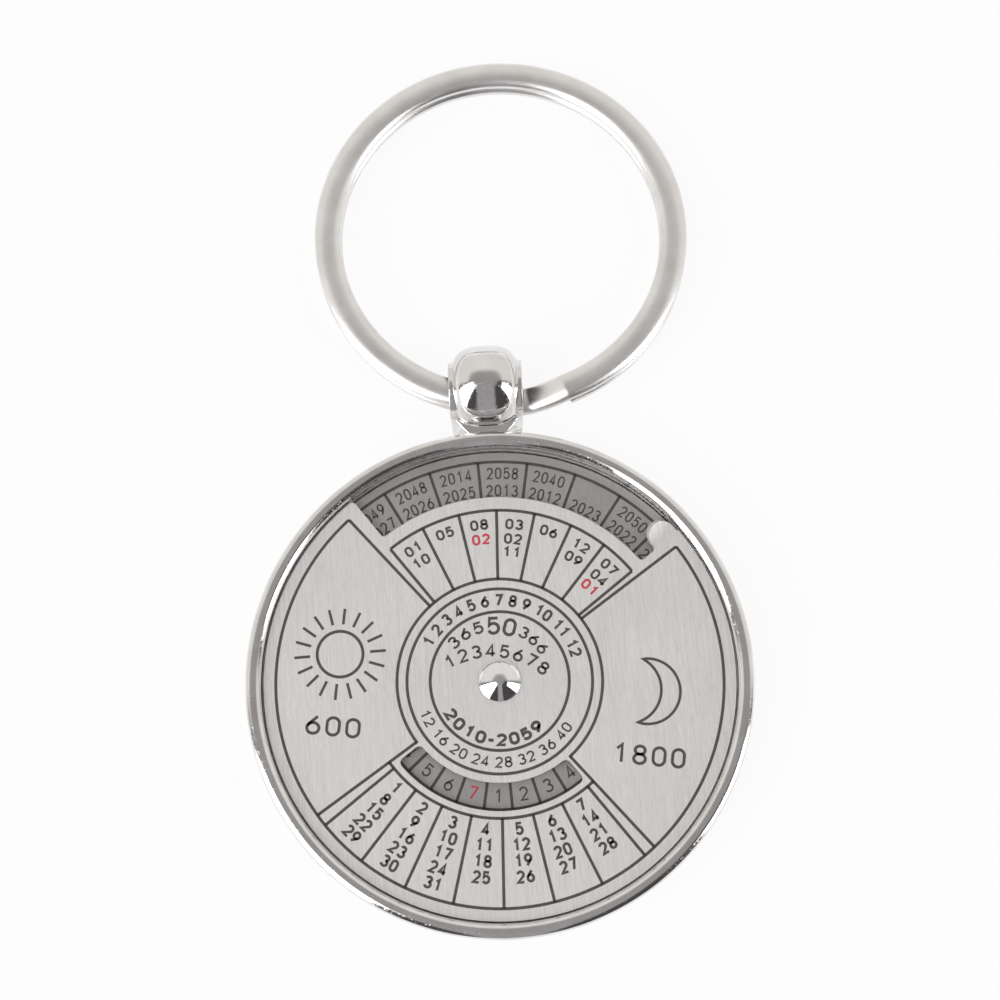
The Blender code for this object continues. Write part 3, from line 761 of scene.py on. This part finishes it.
def digit_strokes():
    """Centre lines of the digits in a unit box, as (points, closed) pairs."""
    zero = loop(0.5, 0.68, 0.5, 0.32, 0, 180) + loop(0.5, 0.32, 0.5, 0.32, 180, 360)
    six = [(0.82, 1.0), (0.52, 0.80), (0.24, 0.60), (0.06, 0.42)]
    bowl = loop(0.5, 0.31, 0.5, 0.31, 0, 360, 24)[:-1]
    strokes = {
        "0": [(zero, True)],
        "1": [([(0.18, 0.76), (0.60, 1.0), (0.60, 0.0)], False)],
        "2": [(loop(0.5, 0.71, 0.5, 0.29, 165, -35) + [(0.0, 0.0), (1.0, 0.0)], False)],
        "3": [
            (loop(0.48, 0.765, 0.44, 0.235, 160, -90), False),
            (loop(0.48, 0.27, 0.52, 0.27, 90, -160), False),
        ],
        "4": [([(1.05, 0.25), (0.0, 0.25), (0.72, 1.0), (0.72, 0.0)], False)],
        "5": [([(0.93, 1.0), (0.14, 1.0), (0.06, 0.52)] + loop(0.48, 0.33, 0.52, 0.33, 132, -155), False)],
        "6": [(bowl, True), (six, False)],
        "7": [([(0.0, 1.0), (1.0, 1.0), (0.34, 0.0)], False)],
        "8": [
            (loop(0.5, 0.765, 0.43, 0.235, 0, 360, 24)[:-1], True),
            (loop(0.5, 0.27, 0.5, 0.27, 0, 360, 24)[:-1], True),
        ],
        "-": [([(0.15, 0.42), (0.85, 0.42)], False)],
    }
    strokes["9"] = [([(1 - x, 1 - y) for x, y in line], closed) for line, closed in strokes["6"]]
    return strokes


STROKES = digit_strokes()


class Print:
    """Flat ink on a dial, gathered into one mesh. The dial's own frame is turned clockwise at rest."""

    def __init__(self, height, turn):
        self.height = height
        self.turn = Matrix.Rotation(-math.radians(turn), 4, "Z")
        self.points = []
        self.faces = []

    def ribbon(self, line, width, closed=False):
        """A line of ink of a width, mitred at its corners."""
        count = len(line)
        base = len(self.points)
        for index in range(count):
            before = line[index - 1] if closed or index else line[0]
            after = line[(index + 1) % count] if closed or index < count - 1 else line[-1]
            here = Vector(line[index])
            back = here - Vector(before)
            ahead = Vector(after) - here
            back = back if back.length > 1e-9 else ahead
            ahead = ahead if ahead.length > 1e-9 else back
            side = back.normalized() + ahead.normalized()
            side = side.normalized() if side.length > 1e-6 else back.normalized()
            lengthen = 1 / max(side.dot(ahead.normalized()), 0.5)
            normal = Vector((-side.y, side.x)) * (width / 2 * lengthen)
            self.points.append((*(here + normal), self.height))
            self.points.append((*(here - normal), self.height))
        for index in range(count if closed else count - 1):
            first = base + 2 * index
            second = base + 2 * ((index + 1) % count)
            self.faces.append((first, first + 1, second + 1, second))

    def arc(self, radius, start, end, width=LINE_WIDTH):
        """An arc between two dial angles."""
        steps = max(int(abs(end - start) / 1.5), 2)
        closed = abs(end - start) >= 360
        line = [clock(radius, start + (end - start) * index / steps) for index in range(steps + (not closed))]
        self.ribbon(line, width, closed)

    def spoke(self, angle, inner, outer, width=LINE_WIDTH):
        """A radial line at a dial angle."""
        self.ribbon([clock(inner, angle), clock(outer, angle)], width)

    def glyph(self, character, height, width, stroke, place):
        """One digit. Place turns (along, up) offsets from its middle into dial points."""
        for line, closed in STROKES[character]:
            ink_line = []
            for x, y in line:
                ink_line.append(place((x - 0.5) * (width - stroke), (y - 0.5) * (height - stroke)))
            self.ribbon(ink_line, stroke, closed)

    def number(self, text, radius, angle, height, width, stroke, gap, outward=True, centre=(0, 0)):
        """Digits along an arc about a centre, their tops outwards or inwards."""
        sign = 1 if outward else -1
        narrow = {" ": 0.55, "-": 0.62}
        steps = [width * narrow.get(character, 1) + gap * (character != " ") for character in text]
        along = -sum(steps) / 2
        for character, step in zip(text, steps):
            here = angle + sign * math.degrees((along + step / 2) / radius)
            along += step
            outwards = Vector(clock(1, here))
            onwards = Vector((outwards.y, -outwards.x))

            def place(across, up):
                return Vector(centre) + outwards * (radius + sign * up) + onwards * (sign * across)

            if character != " ":
                self.glyph(character, height, width, stroke, place)

    def label(self, text, centre, height, width, stroke, gap):
        """Digits on a straight line, upright on the dial."""
        for index, character in enumerate(text):
            along = (index - (len(text) - 1) / 2) * (width + gap)

            def place(across, up):
                return Vector((centre[0] + along + across, centre[1] + up))

            self.glyph(character, height, width, stroke, place)

    def make(self, name, material, body):
        """Turn the print to the dial's pose and make it an object that rides on a body."""
        points = [self.turn @ Vector(point) for point in self.points]
        thing = as_object(name, mesh_of(name, points, self.faces), material, 0)
        shape = bmesh.new()
        shape.from_mesh(thing.data)
        for face in shape.faces:
            face.normal_update()
            if face.normal.z < 0:
                face.normal_flip()
        shape.to_mesh(thing.data)
        shape.free()
        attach(thing, body)
        return thing


def clock(radius, angle):
    """The (x, y) point at a radius and a dial angle, clockwise from the top."""
    turn = math.radians(angle)
    return (radius * math.sin(turn), radius * math.cos(turn))


def year_cells():
    """Years of the 28 cells, outer and inner row: seven as printed, the rest by March's first day."""
    cells = {-3: [2049, 2027], -2: [2048, 2026], -1: [2014, 2025], 0: [2058, 2013]}
    cells.update({1: [2040, 2012], 2: [None, 2023], 3: [2050, 2022]})
    placed = {year for pair in cells.values() for year in pair}
    for index in range(4, 25):
        cells[index] = []
    for year in range(2010, 2060):
        if year in placed:
            continue
        weekday = datetime.date(year, 3, 1).weekday()
        fitting = [index for index in range(4, 25) if (4 - index) % 7 == weekday and len(cells[index]) < 2]
        fitting.sort(key=lambda index: len(cells[index]))
        cells[fitting[0]].append(year)
    return cells


def print_years(dark, red):
    """The print on the lower plate: ruled year cells and the ring of weekday numbers."""
    black = Print(YEAR_PLATE_TOP + INK_RISE, YEAR_PLATE_TURN)
    red_ink = Print(YEAR_PLATE_TOP + INK_RISE, YEAR_PLATE_TURN)
    for radius in (YEAR_CELL_OUTER, YEAR_CELL_INNER, DAY_CELL_OUTER):
        black.arc(radius, 0, 360)
    for index in range(28):
        black.spoke((index + 0.5) * CELL, YEAR_CELL_INNER, YEAR_CELL_OUTER)
        black.spoke((index + 0.5) * CELL, DAY_CELL_INNER, DAY_CELL_OUTER)
        day = (28 - index) % 7 + 1
        sheet = red_ink if day == 7 else black
        sheet.number(str(day), DAY_ROW, 180 + index * CELL, 1.1, 0.70, 0.15, 0, outward=False)
    for index, years in year_cells().items():
        for radius, year in zip(YEAR_ROWS, years):
            if year:
                black.number(str(year), radius, index * CELL, 0.98, 0.54, 0.14, 0.14)
    black.make("year_plate_print", dark, "case")
    red_ink.make("year_plate_print_red", red, "case")


def print_dates(dark, red):
    """The print on the upper plate: rings, boxes, numbers, sun and crescent."""
    black = Print(DATE_PLATE_TOP + INK_RISE, DATE_PLATE_TURN)
    red_ink = Print(DATE_PLATE_TOP + INK_RISE, DATE_PLATE_TURN)
    for radius in HUB_RINGS:
        black.arc(radius, 0, 360)
    black.arc(BOX_INNER, -132.5, 132.5)
    black.arc(BOX_OUTER, RIGHT_SIDE, 360 - LEFT_SIDE)
    black.spoke(RIGHT_SIDE, BOX_INNER, BOX_OUTER)
    black.spoke(-LEFT_SIDE, BOX_INNER, BOX_OUTER)
    black.arc(MONTH_OUTER, -45, 45)
    black.arc(DATE_INNER, *DATE_SIDES)
    for angle in DATE_SIDES:
        black.spoke(angle, BOX_INNER, BOX_OUTER)
    for index in range(8):
        black.spoke(-45 + index * CELL, BOX_INNER, MONTH_OUTER)
        black.spoke(135 + index * CELL, DATE_INNER, BOX_OUTER)
    months = [
        ("01", "10"), ("05",), ("08", "r02"), ("03", "02", "11"),
        ("06",), ("12", "09"), ("07", "04", "r01"),
    ]
    for index, column in enumerate(months):
        for radius, text in zip(MONTH_ROWS, column):
            sheet = red_ink if text[0] == "r" else black
            sheet.number(text.strip("r"), radius, (index - 3) * CELL, 0.88, 0.66, 0.19, 0.13)
    for day in range(1, 32):
        row, column = divmod(day - 1, 7)
        radius = DATE_FIRST_ROW + DATE_ROW_STEP * row
        black.number(str(day), radius, 180 + (3 - column) * CELL, 1.03, 0.67, 0.215, 0.09, outward=False)
    black.number("1 2 3 4 5 6 7 8 9 10 11 12", 6.39, -1, 1.0, 0.67, 0.21, 0.08)
    black.number("12 16 20 24 28 32 36 40", 6.39, 180, 0.88, 0.62, 0.15, 0.12, outward=False)
    black.number("365", 4.69, -36.5, 1.0, 0.8, 0.19, 0.33, centre=(-0.28, -0.33))
    black.number("50", 4.66, 0.3, 1.45, 1.05, 0.25, 0.24, centre=(-0.28, -0.33))
    black.number("366", 4.67, 35, 0.98, 0.74, 0.18, 0.22, centre=(-0.28, -0.33))
    black.number("12345678", 6.7, -1.4, 1.08, 0.8, 0.19, 0.316, centre=(-0.22, -4.37))
    black.number("2010-2059", 4.65, 183, 1.02, 0.84, 0.25, 0.153, outward=False)
    sun_x, sun_y = SUN_CENTRE
    circle = [clock(SUN_RADIUS, 6 * index) for index in range(60)]
    black.ribbon([(sun_x + x, sun_y + y) for x, y in circle], LINE_WIDTH, True)
    for index in range(SUN_RAYS):
        ray = [clock(radius, 360 / SUN_RAYS * index) for radius in SUN_RAY]
        black.ribbon([(sun_x + x, sun_y + y) for x, y in ray], FINE_LINE)
    black.ribbon(crescent(), FINE_LINE, True)
    black.label("600", (-12.68, -4.78), 1.6, 1.2, 0.24, 0.37)
    black.label("1800", (12.19, -4.77), 1.6, 1.15, 0.24, 0.36)
    black.make("date_plate_print", dark, "dial")
    red_ink.make("date_plate_print_red", red, "dial")


def crescent():
    """Outline of the crescent, between an outer and an inner arc that share their tips."""
    outline = []
    for reach, start, end in ((CRESCENT_OUTER_REACH, 1, -1), (CRESCENT_INNER_REACH, -1, 1)):
        radius = (CRESCENT_HALF ** 2 + reach ** 2) / (2 * reach)
        centre = CRESCENT_X + reach - radius
        spread = math.degrees(math.atan2(CRESCENT_HALF, CRESCENT_X - centre))
        outline += arc((centre, CRESCENT_Y), radius, start * spread, end * spread, 28)[:-1]
    return outline


def dress_pieces():
    """Build every visible piece and give each node its finish."""
    chrome = chrome_cast()
    for piece in (make_dish(chrome), make_bail(chrome)):
        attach(piece, "case")
    plate = make_date_plate(brushed_steel(), edge_steel())
    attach(plate, "dial")
    rivet = make_rivet(mirror_chrome())
    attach(rivet, "case")
    ring = make_split_ring(ring_steel(), cut_steel())
    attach(ring, "ring")
    foam = plain_finish("adhesive_foam_fine", (0.70, 0.68, 0.62), (0.84, 0.83, 0.79), 0.9, 0.0, 9000)
    nylon = plain_finish("nylon_fine", (0.78, 0.77, 0.72), (0.86, 0.85, 0.80), 0.5, 0.0, 4000)
    plain = plain_finish("steel_plain_fine", (0.48, 0.48, 0.47), (0.60, 0.60, 0.59), 0.35, 1.0, 5000)
    finishes = {
        "year_plate": satin_steel(),
        "adhesive_pad": foam,
        "friction_washer": nylon,
        "rivet_burr": plain,
    }
    for node, material in finishes.items():
        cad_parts[node].data.materials.clear()
        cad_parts[node].data.materials.append(material)
    dark = ink("ink_dark", (0.062, 0.051, 0.050), (0.10, 0.085, 0.083))
    red = ink("ink_red", (0.52, 0.04, 0.06), (0.60, 0.10, 0.11))
    print_years(dark, red)
    print_dates(dark, red)


def make_floor():
    """A plain white floor that shows as white to the camera and in the metal, and keeps a faint shadow."""
    half = FLOOR_HALF
    corners = [(-half, -half, 0), (half, -half, 0), (half, half, 0), (-half, half, 0)]
    mesh = mesh_of("floor", corners, [(0, 1, 2, 3)])
    mesh.transform(Matrix.Translation((0, 0, -FLOOR_DROP * MM)))
    shader = Shader("floor_white", (0.9, 0.9, 0.9), 0.6, 0.0)
    path = shader.add("ShaderNodeLightPath")
    seen = shader.maths("MAXIMUM", path.outputs["Is Camera Ray"], path.outputs["Is Transmission Ray"])
    mirrored = shader.maths("MULTIPLY", path.outputs["Is Glossy Ray"], WHITE_IN_METAL)
    share = shader.maths("MAXIMUM", shader.maths("MULTIPLY", seen, WHITE_TO_CAMERA), mirrored)
    white = shader.add("ShaderNodeEmission", Color=(1, 1, 1, 1), Strength=1.0)
    mix = shader.add("ShaderNodeMixShader", n0=share, n1=shader.main.outputs[0], n2=white.outputs[0])
    shader.links.new(mix.outputs[0], shader.nodes["Material Output"].inputs["Surface"])
    floor = as_object("floor", mesh, shader.material, 0)


def make_light():
    """A studio tent: two white panels, a pale card behind, grey above, and grey between dark in front."""
    world = bpy.data.worlds.new("studio")
    bpy.context.scene.world = world
    world.use_nodes = True
    sky = Nodes(world.node_tree)
    sky.nodes.clear()
    direction = sky.add("ShaderNodeTexCoord").outputs["Generated"]
    x, y, z = sky.add("ShaderNodeSeparateXYZ", n0=direction).outputs
    behind = sky.blend(sky.step(z, 0.80, 0.93), (0.80, 0.78, 0.75), (0.38, 0.37, 0.36))
    middle = sky.step(sky.maths("ABSOLUTE", x), 0.1, 0.2, 1, 0)
    front = sky.blend(middle, (0.07, 0.065, 0.065), (0.37, 0.36, 0.37))
    room = sky.blend(sky.step(y, -0.12, 0.12), front, behind)
    room = sky.blend(sky.step(z, 0.92, 0.99), room, (0.34, 0.33, 0.325))
    shares = []
    for side, low, high, top in ((1.0, -34, -8, 0.82), (-1.0, 8, 53, 0.95)):
        along = sky.maths("MULTIPLY", x, side)
        across = sky.maths("MULTIPLY", y, side)
        azimuth = sky.maths("ARCTAN2", across, along)
        low, high = math.radians(low), math.radians(high)
        first = sky.step(azimuth, low - PANEL_BLUR, low + PANEL_BLUR)
        last = sky.step(azimuth, high - PANEL_BLUR, high + PANEL_BLUR, 1, 0)
        share = sky.maths("MULTIPLY", first, last)
        below = sky.step(z, top - PANEL_TOP_BLUR, top + PANEL_TOP_BLUR, 1, 0)
        shares.append(sky.maths("MULTIPLY", share, below))
    panels = sky.maths("MAXIMUM", shares[0], shares[1])
    colour = sky.blend(panels, room, (PANEL_LEVEL, PANEL_LEVEL, PANEL_LEVEL))
    background = sky.add("ShaderNodeBackground", n0=colour, n1=1.0)
    output = sky.add("ShaderNodeOutputWorld")
    sky.links.new(background.outputs[0], output.inputs[0])


def make_camera():
    """The camera at the photographed viewing angle."""
    tilt, roll = math.radians(CAMERA_TILT), math.radians(CAMERA_ROLL)
    back = Vector((0, -math.sin(tilt), math.cos(tilt)))
    up = Vector((math.sin(roll), math.cos(roll), 0))
    up = (up - back * up.dot(back)).normalized()
    right = up.cross(back)
    place = (Vector(CAMERA_AIM) + back * CAMERA_DISTANCE) * MM
    data = bpy.data.cameras.new("camera")
    data.lens = CAMERA_LENS
    data.clip_start = 0.005
    data.clip_end = 20
    camera = bpy.data.objects.new("camera", data)
    camera.matrix_world = Matrix.Translation(place) @ Matrix((right, up, back)).transposed().to_4x4()
    bpy.context.scene.collection.objects.link(camera)
    bpy.context.scene.camera = camera


make_camera()
make_light()
make_floor()
dress_pieces()
bpy.context.scene.view_settings.view_transform = "Standard"
